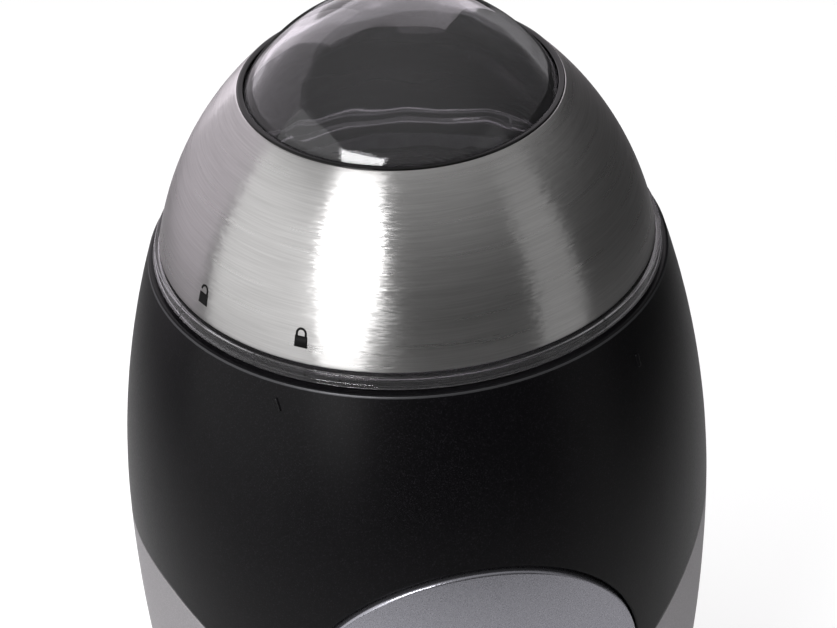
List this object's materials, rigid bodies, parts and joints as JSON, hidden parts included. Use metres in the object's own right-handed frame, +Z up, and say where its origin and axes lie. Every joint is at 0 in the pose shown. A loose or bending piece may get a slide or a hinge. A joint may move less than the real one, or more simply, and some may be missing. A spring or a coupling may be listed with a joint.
{
  "type": "electric spice grinder",
  "caption": "Barrel-shaped electric spice grinder with a domed locking lid, a fixed steel bowl with a spinning blade, and a round push button on the front.",
  "frame": {"origin": "centre of the round footprint, on the surface that the rubber feet stand on", "axes": "+Z up along the motor shaft; the front, with the round button, faces -Y; +X is to the right seen from the front"},
  "size_m": [0.105, 0.1057, 0.1889],
  "materials": {
    "clear_plastic": "clear, slightly smoky, glossy",
    "brushed_steel": "fine circumferential brushing",
    "black_rubber": "smooth",
    "grey_silicone": "soft, matt",
    "dark_plastic": "moulded, matt",
    "white_plastic": "moulded, matt",
    "spring_steel": "bright wire",
    "satin_black": "satin, fine metallic fleck",
    "silver_paint": "satin silver",
    "silver_button": "satin silver, slightly bluish",
    "screw_steel": "zinc plated",
    "stainless": "polished stainless",
    "lamination_steel": "stacked laminations",
    "copper": "enamelled copper",
    "cast_metal": "die cast",
    "bronze": "sintered bronze and brass",
    "carbon": "carbon"
  },
  "bodies": {
    "base": {"interlock_spring": "spring_steel", "interlock_switch": "dark_plastic", "upper_housing": "satin_black", "lower_shell": "silver_paint", "lid_collar": "dark_plastic", "bowl_carrier": "dark_plastic", "support_posts": "dark_plastic", "base_plate": "dark_plastic", "rubber_feet": "black_rubber", "base_screws": "screw_steel", "frame_screws": "screw_steel", "cord_gland": "black_rubber", "button_springs": "spring_steel", "start_switch": "dark_plastic", "switch_screws": "screw_steel", "grinding_bowl": "stainless", "bowl_gasket": "grey_silicone", "shaft_seal": "black_rubber", "stator_core": "lamination_steel", "field_coils": "copper", "upper_bracket": "cast_metal", "upper_bearing": "bronze", "lower_bracket": "cast_metal", "lower_bearing": "bronze", "brush_holders": "bronze", "carbon_brushes": "carbon", "brush_springs": "spring_steel", "motor_bolts": "screw_steel", "motor_dampers": "black_rubber", "motor_screws": "screw_steel"},
    "interlock_ring": {"interlock_ring": "dark_plastic"},
    "lid": {"lid_shell": "clear_plastic", "lid_sleeve": "brushed_steel", "window_gasket": "black_rubber", "lid_seal": "grey_silicone"},
    "interlock_pin": {"interlock_pin": "white_plastic"},
    "rotor": {"motor_shaft": "stainless", "armature_core": "lamination_steel", "armature_windings": "copper", "commutator": "copper", "cooling_fan": "dark_plastic", "grinding_blade": "stainless", "blade_washer": "screw_steel", "blade_nut": "stainless"},
    "button": {"start_button": "silver_button"},
    "switch_plunger": {"switch_plunger": "white_plastic"}
  },
  "joints": [
    {"name": "lid_turn", "type": "hinge", "parent": "base", "child": "interlock_ring", "pos_m": [0, 0, 0.125], "axis": [0, 0, 1], "range_deg": [0, 30]},
    {"name": "lid_lift", "type": "slide", "parent": "interlock_ring", "child": "lid", "axis": [0, 0, 1], "range_m": [0, 0.1]},
    {"name": "interlock_pin_slide", "type": "slide", "parent": "base", "child": "interlock_pin", "axis": [0, 0, 1], "range_m": [0, 0.0025], "deforming": ["interlock_spring"]},
    {"name": "rotor_spin", "type": "hinge", "parent": "base", "child": "rotor", "pos_m": [0, 0, 0.06], "axis": [0, 0, 1], "continuous": true},
    {"name": "button_press", "type": "slide", "parent": "base", "child": "button", "axis": [0, 1, 0], "range_m": [0, 0.0025], "stiffness_N_per_m": 1500, "springref_m": -0.0006, "deforming": ["button_springs"]},
    {"name": "plunger_press", "type": "slide", "parent": "base", "child": "switch_plunger", "axis": [0, 1, 0], "range_m": [0, 0.0025]}
  ],
  "couplings": [
    {"joint": "interlock_pin_slide", "follows": "lid_turn", "m_per_rad": 0.004774},
    {"joint": "plunger_press", "follows": "button_press", "ratio": 1}
  ]
}
